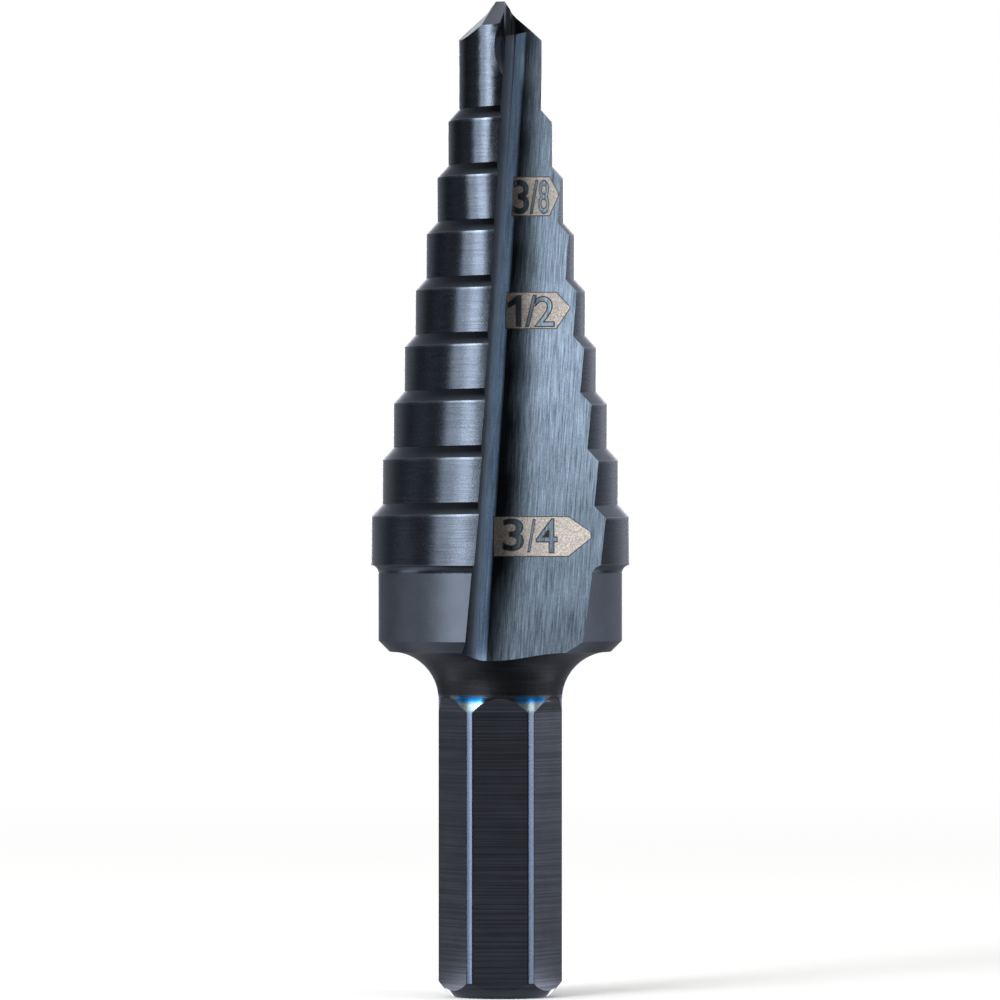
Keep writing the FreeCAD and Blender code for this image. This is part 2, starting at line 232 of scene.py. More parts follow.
above = add(tree, "MapRange", {0: above, 1: 0.45, 2: 0.9, 3: 0.0, 4: CEILING})
gloss = add(tree, "Math", {0: behind, 1: above}, operation="ADD")
for bearing, border, full, strength in CARDS.values():
    card = add(tree, "VectorMath", {0: level_way, 1: way_of(bearing)}, whole=True,
               operation="DOT_PRODUCT").outputs["Value"]
    card = add(tree, "MapRange", {0: card, 1: border, 2: full, 3: 0.0, 4: strength})
    gloss = add(tree, "Math", {0: gloss, 1: card}, operation="ADD")
light = add(tree, "LightPath", whole=True).outputs
level = add(tree, "Mix", {0: light["Is Glossy Ray"], 2: 0.8, 3: gloss})
seen = add(tree, "Math", {0: light["Is Camera Ray"], 1: light["Is Transmission Ray"]},
           operation="MAXIMUM")
level = add(tree, "Mix", {0: seen, 2: level, 3: 1.0})
sky = add(tree, "Background", {"Color": (1, 1, 1, 1), "Strength": level})
add(tree, "OutputWorld", {"Surface": sky})
print(len(CARDS), "cards in the world")

# %% [markdown]
# Three lamps do the rest. A broad softbox on the left and a brighter one in the middle of
# it draw the band down the lands, and a narrow one on the right lights the corner of the
# hexagon. All three are tall, so that the band runs down the whole drill.

# %% Lamps
LAMP_AWAY = 0.95
LAMP_HEIGHT = 0.26
LAMP_TALL = 0.56


def softbox(name, bearing, width, radiance):
    """A soft lamp that faces the drill. Its power is radiance times pi times its area."""
    lamp = bpy.data.objects.new(name, bpy.data.lights.new(name, "AREA"))
    lamp.data.shape = "RECTANGLE"
    lamp.data.size = width
    lamp.data.size_y = LAMP_TALL
    lamp.data.energy = radiance * np.pi * width * LAMP_TALL
    lamp.location = Vector(LAMP_AWAY * way_of(bearing)) + Vector((0, 0, LAMP_HEIGHT))
    aim = Vector((0, 0, TIP / 2)) - lamp.location
    lamp.rotation_euler = aim.to_track_quat("-Z", "Y").to_euler()
    bpy.context.scene.collection.objects.link(lamp)
    print(name, "%.1f W" % lamp.data.energy)


softbox("broad_softbox", -42.5, width=0.66, radiance=9.5)
softbox("key_softbox", -36, width=0.24, radiance=12.0)
softbox("side_strip", 61, width=0.12, radiance=10.0)
bpy.context.scene.view_settings.view_transform = "Standard"

# %% [markdown]
# ## Flute wall as a plane
# The laser writes on the flat wall of the front flute. That wall is one plane: it stands
# 1.07 mm behind the axis at the tip, turns 6.28 degrees from X, and comes forward by
# 0.143 mm for each millimetre down the drill while it drifts 0.0637 mm to the left.
# A point on it is given by how far it lies across and how high it lies, in millimetres.

# %% Flute wall
WALL_BACK = 1.07
WALL_TURN = np.tan(radians(6.28))
LEAN = np.tan(radians(3.645))
RISE = np.tan(radians(8.14))
FALL = RISE + WALL_TURN * LEAN
wall_normal = np.array([-WALL_TURN, -1.0, FALL]) / np.sqrt(1 + WALL_TURN ** 2 + FALL ** 2)


def on_wall(across, up, proud):
    """x = across, z = up, and y from the plane: -y = -1.07 + turn x + fall (tip - z)."""
    forward = -WALL_BACK + WALL_TURN * across + FALL * (TIP / MM - up)
    points = np.stack([across, -forward, up], -1)
    return (points + wall_normal * np.asarray(proud)[..., None]) * MM


print("wall normal", wall_normal.round(4))

# %% [markdown]
# ## Laser size marks
# The laser bakes a tan field beside the third, the fifth and the ninth step, pointed
# toward the edge of the step, and leaves out the numerals, which stay blue steel with a
# burnt edge. The field could be a painted mask. A thin plate is used instead, because its
# edge stays sharp at any distance: an outline with a blunt point and its own thickness,
# about a hundredth of a millimetre proud, with a burnt rim under it and the numerals on top.

# %% Plates
RIM_PROUD, FIELD_PROUD, EDGE_PROUD, NUMERAL_PROUD = 0.008, 0.014, 0.020, 0.026
RIM_GROW, EDGE_GROW, NUMERAL_GROW = 0.06, 0.065, -0.02


def thin_plate(name, outline, low, high):
    """A closed prism on the wall: the outline at both heights, joined by a strip of quads."""
    outline = np.asarray(outline, float)
    count = len(outline)
    ends = [on_wall(outline[:, 0], outline[:, 1], np.full(count, h)) for h in (low, high)]
    i = np.arange(count)
    j = (i + 1) % count
    sides = np.stack([i, j, j + count, i + count], -1)
    faces = [list(range(count))[::-1], list(range(count, 2 * count))] + sides.tolist()
    mesh = bpy.data.meshes.new(name)
    mesh.from_pydata(np.vstack(ends).tolist(), [], faces)
    plate = bpy.data.objects.new(name, mesh)
    bpy.context.scene.collection.objects.link(plate)
    return plate


def pointed_field(left, shoulder, point, blunt, bottom, middle, top, grow=0.0):
    """Left edge, two shoulders and a blunt point to the right, all moved outward by grow."""
    return [(left - grow, bottom - grow), (shoulder + 0.5 * grow, bottom - grow),
            (point + grow, middle - blunt), (point + grow, middle + blunt),
            (shoulder + 0.5 * grow, top + grow), (left - grow, top + grow)]


print("plates up to %.3f mm proud" % NUMERAL_PROUD)

# %% [markdown]
# A field is given by its left edge, its shoulder and its point, by half the width of the
# blunt point, and by the heights of its lower edge, middle and upper edge. A numeral is
# given by its left and right side and its lower and upper edge. All are in millimetres.

# %% Fields
MARKS = {
    "three_eighths": {
        "field": (0.87, 3.55, 4.16, 0.10, 56.40, 57.90, 59.15),
        "numerals": {"3": (0.98, 2.02, 56.53, 58.92), "/": (2.15, 2.70, 56.55, 58.90),
                     "8": (2.78, 3.50, 56.56, 58.90)}},
    "one_half": {
        "field": (0.43, 4.03, 4.98, 0.05, 48.24, 49.72, 50.80),
        "numerals": {"/": (1.84, 2.57, 48.38, 50.57), "2": (2.53, 3.86, 48.38, 50.50)}},
    "three_quarters": {
        "field": (-0.45, 4.88, 6.47, 0.20, 31.87, 33.36, 34.66),
        "numerals": {"3": (0.24, 1.62, 32.27, 34.50), "/": (1.98, 2.50, 32.19, 34.45),
                     "4": (2.60, 4.06, 32.12, 34.51)}},
}
fields, rims = [], []
for word, mark in MARKS.items():
    wide = pointed_field(*mark["field"], grow=RIM_GROW)
    rims.append(thin_plate("burnt_rim_" + word, wide, 0.0, RIM_PROUD))
    plain = pointed_field(*mark["field"])
    fields.append(thin_plate("laser_field_" + word, plain, 0.0, FIELD_PROUD))
print(len(fields), "fields")

# %% [markdown]
# A numeral starts as one letter of the built-in font, thickened by its own extrude value
# so that it is closed. Its points are then stretched to the numeral's width and height
# and carried onto the wall. The burnt edge is the same letter with a wider outline. The 1
# of the font is a bare stroke, so the 1 is drawn here as an outline of its own.

# %% Numerals
def numeral(name, letter, left, right, bottom, top, proud, swell):
    """u = left + (right - left) s and v = bottom + (top - bottom) t, s and t from 0 to 1."""
    curve = bpy.data.curves.new(name, "FONT")
    curve.body = letter
    curve.extrude = 0.5
    text = bpy.data.objects.new(name, curve)
    bpy.context.scene.collection.objects.link(text)
    bpy.context.view_layer.update()
    plain = bpy.data.meshes.new_from_object(text)
    co = np.empty(len(plain.vertices) * 3)
    plain.vertices.foreach_get("co", co)
    co = co.reshape(-1, 3)
    low, size = co.min(0), np.ptp(co, axis=0)
    curve.offset = swell * size[1] / (top - bottom)
    bpy.context.view_layer.update()
    mesh = bpy.data.meshes.new_from_object(text)
    bpy.data.objects.remove(text)
    co = np.empty(len(mesh.vertices) * 3)
    mesh.vertices.foreach_get("co", co)
    co = co.reshape(-1, 3)
    across = left + (right - left) * (co[:, 0] - low[0]) / size[0]
    up = bottom + (top - bottom) * (co[:, 1] - low[1]) / size[1]
    mesh.vertices.foreach_set("co", on_wall(across, up, proud * (co[:, 2] > 0)).ravel())
    mesh.name = name
    mesh.materials.clear()
    piece = bpy.data.objects.new(name, mesh)
    bpy.context.scene.collection.objects.link(piece)
    return piece


def one(grow):
    """The numeral 1 as an outline: a stem, and a flag that falls to the left of its head."""
    return [(1.17 - grow, 48.38 - grow), (1.47 + grow, 48.38 - grow),
            (1.47 + grow, 50.57 + grow), (1.26 - 0.8 * grow, 50.57 + grow),
            (0.60 - grow, 50.02 + grow), (0.60 - grow, 49.74 - grow),
            (1.17 - grow, 50.05 - grow)]


edges = [thin_plate("burnt_edge_one", one(EDGE_GROW), 0.0, EDGE_PROUD)]
figures = [thin_plate("numeral_one", one(NUMERAL_GROW), 0.0, NUMERAL_PROUD)]
for word, mark in MARKS.items():
    for number, (letter, box) in enumerate(mark["numerals"].items()):
        tag = "%s_%d" % (word, number)
        edges.append(numeral("burnt_edge_" + tag, letter, *box, EDGE_PROUD, EDGE_GROW))
        figures.append(numeral("numeral_" + tag, letter, *box, NUMERAL_PROUD, NUMERAL_GROW))
print(len(figures), "numerals of", sum(len(p.data.polygons) for p in figures), "faces")

# %% [markdown]
# ## Steam-oxidised high-speed steel
# Superheated steam grows a skin of magnetite on the finished tool, a few thousandths of a
# millimetre thick. It is blue-black, and every grinding line of the steel below shows
# through it. The material is a metal with a very dark base colour, and it reads from the
# surface itself how that surface was ground: the lands were ground around the axis, the
# flutes along their own length, and the neck was only turned.

# %% Where a point lies on the drill
steel = new_material("steam_oxidised_high_speed_steel")
tree = steel.node_tree
spot = add(tree, "TexCoord", whole=True).outputs["Object"]
spot = add(tree, "VectorMath", {0: spot, "Scale": 1000.0}, operation="SCALE")
xyz = add(tree, "SeparateXYZ", {0: spot}, whole=True).outputs
flat = add(tree, "VectorMath", {0: spot, 1: (1, 1, 0)}, operation="MULTIPLY")
radius = add(tree, "VectorMath", {0: flat}, whole=True, operation="LENGTH").outputs["Value"]
radial = add(tree, "VectorMath", {0: flat}, operation="NORMALIZE")
facing = add(tree, "NewGeometry", whole=True).outputs["Normal"]
outward = add(tree, "VectorMath", {0: radial, 1: facing}, whole=True,
              operation="DOT_PRODUCT").outputs["Value"]
facing_xyz = add(tree, "SeparateXYZ", {0: facing}, whole=True).outputs
tilt = facing_xyz["Z"]
slope = add(tree, "Math", {0: tilt}, operation="ABSOLUTE")

# %% [markdown]
# A few questions sort the surface. Does it face along a flute wall, or does it lie in the
# round root beside one? Does it face straight out from the axis, as a land or the collar
# does? Does it slope like a lead-in cone? And how high does it lie? Each answer is a number
# from 0, no, to 1, yes. The heights are in millimetres above the floor.

# %% Masks of the ground faces
LAST_UNDERSIDE = 31.2     # flat underside of the ninth step
COLLAR_END = 24.93        # underside of the collar
FLUTE_END = 22.8          # no flute reaches down to here
SHANK_TOP = 21.75         # just above the hexagon's turned corners
CORNER_RADIUS = 4.42      # just inside the turned corners
side = add(tree, "VectorMath", {0: facing, 1: (*wall_normal[:2], 0)}, whole=True,
           operation="DOT_PRODUCT").outputs["Value"]
side = add(tree, "Math", {0: side}, operation="ABSOLUTE")
likeness = add(tree, "Math", {0: tilt, 1: float(wall_normal[2]), 2: side}, operation="MULTIPLY_ADD")
is_outward = add(tree, "MapRange", {0: outward, 1: 0.80, 2: 0.93, 3: 0.0, 4: 1.0})
is_upright = add(tree, "MapRange", {0: slope, 1: 0.045, 2: 0.03, 3: 0.0, 4: 1.0})
is_land = add(tree, "Math", {0: is_outward, 1: is_upright}, operation="MULTIPLY")
is_steep = add(tree, "MapRange", {0: slope, 1: 0.45, 2: 0.38, 3: 0.0, 4: 1.0})
is_cone = add(tree, "Math", {0: 1.0, 1: is_steep}, operation="SUBTRACT")
above_shank = add(tree, "MapRange", {0: xyz["Z"], 1: FLUTE_END - 0.1,
                                     2: FLUTE_END + 0.1, 3: 0.0, 4: 1.0})
not_land = add(tree, "Math", {0: 1.0, 1: is_land}, operation="SUBTRACT")
is_flute = add(tree, "Math", {0: not_land, 1: is_steep}, operation="MULTIPLY")
is_flute = add(tree, "Math", {0: is_flute, 1: above_shank}, operation="MULTIPLY")
leans_up = add(tree, "MapRange", {0: tilt, 1: 0.0, 2: 0.02, 3: 0.0, 4: 1.0})
is_flute = add(tree, "Math", {0: is_flute, 1: leans_up}, operation="MULTIPLY")
is_wall = add(tree, "MapRange", {0: likeness, 1: 0.9945, 2: 0.998, 3: 0.0, 4: 1.0})
is_root = add(tree, "MapRange", {0: likeness, 1: 0.74, 2: 0.94, 3: 0.0, 4: 1.0})
is_gash = add(tree, "MapRange", {0: tilt, 1: 0.17, 2: 0.21, 3: 0.0, 4: 1.0})
print("ground faces sorted")

# %% [markdown]
# The hexagon has six flats and six turned corners. The cosine of six times the bearing is the same
# at every corner, so that one number tells where a corner's middle is. Both flutes have the same
# answers, because one is the other turned by half a turn: the sign of the normal's Y tells them
# apart, and with it a point's place across its own flute is known. Above a line across the flute,
# the back of the split-point gash and the flute around it are painted near black, as painted shade.

# %% Masks of the shank and across a flute
SPLIT_SLOPE, SPLIT_HEIGHT = 0.216, 69.31
is_shank = add(tree, "MapRange", {0: xyz["Z"], 1: SHANK_TOP + 0.15, 2: SHANK_TOP - 0.15,
                                  3: 0.0, 4: 1.0})
is_corner = add(tree, "MapRange", {0: radius, 1: CORNER_RADIUS - 0.01,
                                   2: CORNER_RADIUS + 0.01, 3: 0.0, 4: 1.0})
is_corner = add(tree, "Math", {0: is_corner, 1: is_shank}, operation="MULTIPLY")
is_collar = add(tree, "MapRange", {0: xyz["Z"], 1: LAST_UNDERSIDE + 0.1,
                                   2: LAST_UNDERSIDE - 0.1, 3: 0.0, 4: 1.0})
sixfold = add(tree, "Math", {0: xyz["X"], 1: xyz["Y"]}, operation="ARCTAN2")
sixfold = add(tree, "Math", {0: sixfold, 1: 6.0}, operation="MULTIPLY")
sixfold = add(tree, "Math", {0: sixfold}, operation="COSINE")
at_corner = add(tree, "MapRange", {0: sixfold, 1: 0.3, 2: -0.4, 3: 0.0, 4: 1.0})
hand = add(tree, "Math", {0: facing_xyz["Y"]}, operation="SIGN")
across = add(tree, "Math", {0: hand, 1: xyz["X"]}, operation="MULTIPLY")
drift = add(tree, "Math", {0: xyz["Z"], 1: LEAN, 2: across}, operation="MULTIPLY_ADD")
# painted highlight: a band of the wall beside the root takes the light root blue
painted_strip_beside_root = add(tree, "MapRange", {0: drift, 1: 2.50, 2: 2.72, 3: 0.0, 4: 1.0})
off_painted_strip = add(tree, "Math", {0: 1.0, 1: painted_strip_beside_root}, operation="SUBTRACT")
is_wall = add(tree, "Math", {0: is_wall, 1: off_painted_strip}, operation="MULTIPLY")
split_line = add(tree, "Math", {0: across, 1: SPLIT_SLOPE, 2: xyz["Z"]},
                 operation="MULTIPLY_ADD")
shaded_above_split = add(tree, "MapRange", {0: split_line, 1: SPLIT_HEIGHT - 0.03,
                                  2: SPLIT_HEIGHT + 0.03, 3: 0.0, 4: 1.0})
print("masks ready")

# %% [markdown]
# The two lands are relieved: behind the cutting edge each of them sinks by 0.45 mm in half
# a turn. With that taken off, the height of any point can be counted in steps of 4.07 mm
# from the first cone down. The fraction that is left says where on its step a point lies,
# from 0 at the top of the cone to 0.216 at the edge of the land and 1 at the next cone.
# The edge of the land is made lighter, and the top of the cone, tucked in under the land above,
# gets painted shade.

# %% Steps
STEP_PITCH = 4.07
FIRST_CONE = 64.285       # top of the first cone at the cutting edge
LAND_START = -80 / 180    # where the edge lies, in half turns
SINK = 0.45               # what a land loses in height in half a turn
turned = add(tree, "Math", {0: xyz["Y"], 1: xyz["X"]}, operation="ARCTAN2")
turned = add(tree, "Math", {0: turned, 1: -1 / np.pi, 2: LAND_START}, operation="MULTIPLY_ADD")
behind_edge = add(tree, "Math", {0: turned}, operation="FRACT")
counted = add(tree, "Math", {0: behind_edge, 1: SINK, 2: xyz["Z"]}, operation="MULTIPLY_ADD")
counted = add(tree, "Math", {0: counted, 1: -1 / STEP_PITCH, 2: FIRST_CONE / STEP_PITCH},
              operation="MULTIPLY_ADD")
on_step = add(tree, "Math", {0: counted}, operation="FRACT")
below_tip = add(tree, "MapRange", {0: xyz["Z"], 1: FIRST_CONE + 0.115,
                                   2: FIRST_CONE + 0.015, 3: 0.0, 4: 1.0})
above_last = add(tree, "MapRange", {0: xyz["Z"], 1: LAST_UNDERSIDE + 0.7,
                                    2: LAST_UNDERSIDE + 0.8, 3: 0.0, 4: 1.0})
stepped = add(tree, "Math", {0: below_tip, 1: above_last}, operation="MULTIPLY")
edge = add(tree, "MapRange", {0: on_step, 1: 0.219, 2: 0.262, 3: 1.0, 4: 0.0})
edge_above = add(tree, "MapRange", {0: on_step, 1: 0.190, 2: 0.214, 3: 0.0, 4: 1.0})
edge = add(tree, "Math", {0: edge, 1: edge_above}, operation="MULTIPLY")
edge = add(tree, "Math", {0: edge, 1: stepped}, operation="MULTIPLY")
not_flute = add(tree, "Math", {0: 1.0, 1: is_flute}, operation="SUBTRACT")
edge = add(tree, "Math", {0: edge, 1: not_flute}, operation="MULTIPLY")
# painted shade at the top of each cone, under the land above, strongest just behind the cutting
# edge
shade_under_land = add(tree, "MapRange", {0: on_step, 1: 0.10, 2: 0.17, 3: 1.0, 4: 0.0})
near_edge = add(tree, "MapRange", {0: behind_edge, 1: 0.10, 2: 0.45, 3: 1.0, 4: 0.0})
shade_under_land = add(tree, "Math", {0: shade_under_land, 1: near_edge}, operation="MULTIPLY")
shade_under_land = add(tree, "Math", {0: shade_under_land, 1: stepped}, operation="MULTIPLY")
print("steps of %.2f mm counted down from %.2f mm" % (STEP_PITCH, FIRST_CONE))

# %% [markdown]
# A grinding wheel leaves lines along its travel. On the lands and the shank a line runs
# around the axis, so the pattern changes quickly with height and hardly with direction.
# In the flutes it runs down the drill, so the pattern changes quickly across. The real
# lines are about 0.02 mm apart; they are drawn about 0.1 mm apart so that they show.

# %% Grinding lines
along = add(tree, "CombineXYZ", {0: drift, 1: hand, 2: xyz["Z"]})
along = add(tree, "VectorMath", {0: along, 1: (9.0, 5.0, 0.35)}, operation="MULTIPLY")
streaks = add(tree, "TexNoise", {"Vector": along, "Scale": 1.0, "Detail": 6.0, "Roughness": 0.75})
around = add(tree, "VectorMath", {0: spot, 1: (0.35, 0.35, 11.0)}, operation="MULTIPLY")
rings = add(tree, "TexNoise", {"Vector": around, "Scale": 1.0, "Detail": 3.0, "Roughness": 0.6})
level = add(tree, "VectorMath", {0: spot, 1: (0.06, 0.06, 9.0)}, operation="MULTIPLY")
level = add(tree, "TexNoise", {"Vector": level, "Scale": 1.0, "Detail": 1.0, "Roughness": 0.5})
grain = add(tree, "TexNoise", {"Vector": spot, "Scale": 9.0, "Detail": 3.0, "Roughness": 0.7})
cloud = add(tree, "TexNoise", {"Vector": spot, "Scale": 0.5, "Detail": 2.0, "Roughness": 0.5})
print("five patterns, the finest about 0.1 mm apart")

# %% [markdown]
# The oxide is a neutral blue-black on the lands. It looks lighter on the flute walls, most at
# mid-length and darker toward both ends, and beside the root the wall carries painted shade.

# %% Colour of the lands and the flute walls
LIGHTEST_HEIGHT = 48.0                     # height
TIP_FROM, TIP_TO = 50.0, 65.0        # toward the tip the painted shade beside the root narrows
END_FROM, END_TO = 29.0, 26.5        # and toward the end of the flute too
ring_place = add(tree, "MapRange", {0: rings, 1: 0.3, 2: 0.7, 3: 0.0, 4: 1.0})
land_colour = add(tree, "MixRGB", {0: ring_place, 1: linear("#2B3037"), 2: linear("#373D46")})
streak_place = add(tree, "MapRange", {0: streaks, 1: 0.34, 2: 0.66, 3: 0.0, 4: 1.0})
wall_colour = add(tree, "MixRGB", {0: streak_place, 1: linear("#2B3440"), 2: linear("#748392")})
from_root = add(tree, "Math", {0: drift, 1: -1.0}, operation="MULTIPLY")
near_tip = add(tree, "MapRange", {0: xyz["Z"], 1: TIP_FROM, 2: TIP_TO, 3: 0.0, 4: 1.0})
near_end = add(tree, "MapRange", {0: xyz["Z"], 1: END_FROM, 2: END_TO, 3: 0.0, 4: 0.7})
from_root = add(tree, "Math", {0: from_root, 1: near_tip}, operation="ADD")
from_root = add(tree, "Math", {0: from_root, 1: near_end}, operation="ADD")
# painted shade: the wall is darkened beside the root, where the rake side hides the light
root_shade_and_height_tone = add(tree, "MapRange", {0: from_root, 1: -1.7, 2: 0.3, 3: 0.20, 4: 1.0},
           interpolation_type="SMOOTHSTEP")
# a tone that is lightest at mid-length and darker toward both ends
from_middle = add(tree, "Math", {0: xyz["Z"], 1: LIGHTEST_HEIGHT}, operation="SUBTRACT")
from_middle = add(tree, "Math", {0: from_middle}, operation="ABSOLUTE")
height_tone = add(tree, "MapRange", {0: from_middle, 1: 3.0, 2: 17.0, 3: 0.92, 4: 0.52})
root_shade_and_height_tone = add(tree, "Math", {0: root_shade_and_height_tone, 1: height_tone}, operation="MULTIPLY")
darker_toward_end = add(tree, "MapRange", {0: near_end, 1: 0.0, 2: 0.7, 3: 1.0, 4: 0.72})
root_shade_and_height_tone = add(tree, "Math", {0: root_shade_and_height_tone, 1: darker_toward_end}, operation="MULTIPLY")
wall_colour = add(tree, "VectorMath", {0: wall_colour, "Scale": root_shade_and_height_tone}, operation="SCALE")
print("lands and walls coloured")

# %% [markdown]
# The round root has kept its skin, which is matt there and the bluest of all. Its light blue is
# partly that skin and partly a painted highlight, with painted shade deep in the root and toward
# the tip. The gashes at the point are painted darkest, as painted shade.

# %% Colour of the root and the gashes
root_colour = add(tree, "MixRGB", {0: streak_place, 1: linear("#4F6A8B"), 2: linear("#88A6C8")})
# painted shade: the root is darker deep in its curve and toward the tip
painted_root_shade = add(tree, "MapRange", {0: likeness, 1: 0.85, 2: 0.99, 3: 0.36, 4: 0.66})
less = add(tree, "MapRange", {0: near_tip, 1: 0.0, 2: 1.0, 3: 1.0, 4: 0.72})
painted_root_shade = add(tree, "Math", {0: painted_root_shade, 1: less}, operation="MULTIPLY")
root_colour = add(tree, "VectorMath", {0: root_colour, "Scale": painted_root_shade}, operation="SCALE")
flute_colour = add(tree, "MixRGB", {0: is_root, 1: linear("#2A2E35"), 2: root_colour})
flute_colour = add(tree, "MixRGB", {0: is_wall, 1: flute_colour, 2: wall_colour})
# painted shade: the gash faces and the flute above the split line are painted near black
flute_colour = add(tree, "MixRGB", {0: is_gash, 1: flute_colour, 2: linear("#25282C")})
flute_colour = add(tree, "MixRGB", {0: shaded_above_split, 1: flute_colour, 2: linear("#15171A")})
colour = add(tree, "MixRGB", {0: is_flute, 1: land_colour, 2: flute_colour})
print("flutes coloured")

# %% [markdown]
# The collar is a little lighter than the lands, and the neck is darker. A cone gets painted shade
# at its top, under the land above, and the four facets of the point are darker than a cone.

# %% Colour of the collar, the cones and the neck
POINT_START = 65.1
on_collar = add(tree, "Math", {0: is_collar, 1: is_land}, operation="MULTIPLY")
colour = add(tree, "MixRGB", {0: on_collar, 1: colour, 2: linear("#484E58")})
painted_cone_shade = add(tree, "MapRange", {0: shade_under_land, 1: 0.0, 2: 1.0, 3: 1.0, 4: 0.12})
is_point = add(tree, "MapRange", {0: xyz["Z"], 1: POINT_START - 0.1,
                                  2: POINT_START + 0.1, 3: 0.0, 4: 1.0})
cone_colour = add(tree, "MixRGB", {0: is_point, 1: linear("#363B42"), 2: linear("#292C31")})
cone_colour = add(tree, "VectorMath", {0: cone_colour, "Scale": painted_cone_shade}, operation="SCALE")
colour = add(tree, "MixRGB", {0: is_cone, 1: colour, 2: cone_colour})
below_collar = add(tree, "MapRange", {0: xyz["Z"], 1: COLLAR_END + 0.02,
                                      2: COLLAR_END - 0.03, 3: 0.0, 4: 1.0})
below_collar = add(tree, "Math", {0: below_collar, 1: not_flute}, operation="MULTIPLY")
neck_colour = add(tree, "MixRGB", {0: ring_place, 1: linear("#212225"), 2: linear("#2B2C30")})
colour = add(tree, "MixRGB", {0: below_collar, 1: colour, 2: neck_colour})
print("collar, cones and neck coloured")

# %% [markdown]
# The shank was ground last, and its flats show the fine level lines of the wheel. A turned corner
# is dark with a painted highlight line down its middle. Where the corners begin, below the neck,
# grinding heat has left a blue tint, and below it sits a pale painted highlight.

# %% Colour of the shank
PALE_FROM, PALE_TO = 20.5, 20.9    # heights at which the pale painted highlight begins and is full
BLUE_FROM, BLUE_TO = 21.15, 21.5     # the same for the blue tint, above the highlight
level_place = add(tree, "MapRange", {0: level, 1: 0.35, 2: 0.65, 3: 0.0, 4: 1.0})
flat_colour = add(tree, "MixRGB", {0: level_place, 1: linear("#464A53"), 2: linear("#5C606B")})
# a blue heat tint, with a pale painted highlight below it
tint_and_highlight = add(tree, "MapRange", {0: xyz["Z"], 1: BLUE_FROM, 2: BLUE_TO, 3: 0.0, 4: 1.0},
           interpolation_type="SMOOTHSTEP")
tint_and_highlight = add(tree, "MixRGB", {0: tint_and_highlight, 1: linear("#76868A"), 2: linear("#0B5E98")})
tinted_and_lit = add(tree, "MapRange", {0: xyz["Z"], 1: PALE_FROM, 2: PALE_TO, 3: 0.0, 4: 1.0},
             interpolation_type="SMOOTHSTEP")
# painted highlight: a light line down the middle of each turned corner
painted_corner_highlight = add(tree, "MapRange", {0: sixfold, 1: -0.955, 2: -0.972, 3: 0.0, 4: 1.0})
highlight_line_colour = add(tree, "MixRGB", {0: painted_corner_highlight, 1: linear("#30333A"), 2: linear("#525D70")})
corner_colour = add(tree, "MixRGB", {0: tinted_and_lit, 1: highlight_line_colour, 2: tint_and_highlight})
corner_colour = add(tree, "MixRGB", {0: at_corner, 1: linear("#2E2E31"), 2: corner_colour})
shank_colour = add(tree, "MixRGB", {0: is_corner, 1: flat_colour, 2: corner_colour})
colour = add(tree, "MixRGB", {0: is_shank, 1: colour, 2: shank_colour})
print("shank coloured")

# %% [markdown]
# No skin is quite even. A slow cloud and a fine speckle make it lighter and darker by up to three
# tenths. The edges of the lands are made more than twice as bright.

# %% Speckle and bright edges
cloudy = add(tree, "MapRange", {0: cloud, 1: 0.3, 2: 0.7, 3: 0.92, 4: 1.08})
speckle = add(tree, "MapRange", {0: grain, 1: 0.3, 2: 0.7, 3: 0.80, 4: 1.20})
# the top edge of each land is made more than twice as bright
brightened_edge = add(tree, "MapRange", {0: edge, 1: 0.0, 2: 1.0, 3: 1.0, 4: 2.3})
speckle = add(tree, "Mix", {0: is_shank, 2: speckle, 3: 1.0})
cloudy = add(tree, "Math", {0: cloudy, 1: speckle}, operation="MULTIPLY")
cloudy = add(tree, "Math", {0: cloudy, 1: brightened_edge}, operation="MULTIPLY")
colour = add(tree, "VectorMath", {0: colour, "Scale": cloudy}, operation="SCALE")
print("colour takes", len(tree.nodes), "nodes")

# %% [markdown]
# Lines make a reflection wide across them and leave it narrow along them. The shader's
# tangent points that wide way: up and down on a turned surface, sideways in a flute. That
# is why the lands show a crisp upright band and the flute wall a soft sheen.

# %% Relief
upward = add(tree, "VectorMath", {0: radial, 1: (0.3, 0.3, 0.3), 2: (0, 0, 1)},
             operation="MULTIPLY_ADD")
sideways = add(tree, "VectorMath", {0: facing, 1: (0, 0, 1)}, operation="CROSS_PRODUCT")
wide_way = add(tree, "MixRGB", {0: is_flute, 1: upward, 2: sideways})
lines = add(tree, "Mix", {0: is_flute, 2: rings, 3: streaks})
relief = add(tree, "Math", {0: grain, 1: 0.8, 2: lines}, operation="MULTIPLY_ADD")
faint = add(tree, "Math", {0: level, 1: 0.35}, operation="MULTIPLY")
relief = add(tree, "Mix", {0: is_shank, 2: relief, 3: faint})
bumped = add(tree, "Bump", {"Strength": 0.25, "Distance": 0.02 * MM, "Height": relief})
print("relief of 0.02 mm at most")

# %% [markdown]
# The finer the wheel, the smoother the face. The flats of the shank are the smoothest, the
# lands come next, and the collar and the neck, which were only turned, are the roughest.
# The skin in the round root is matt like stone, so only a quarter of it counts as metal.

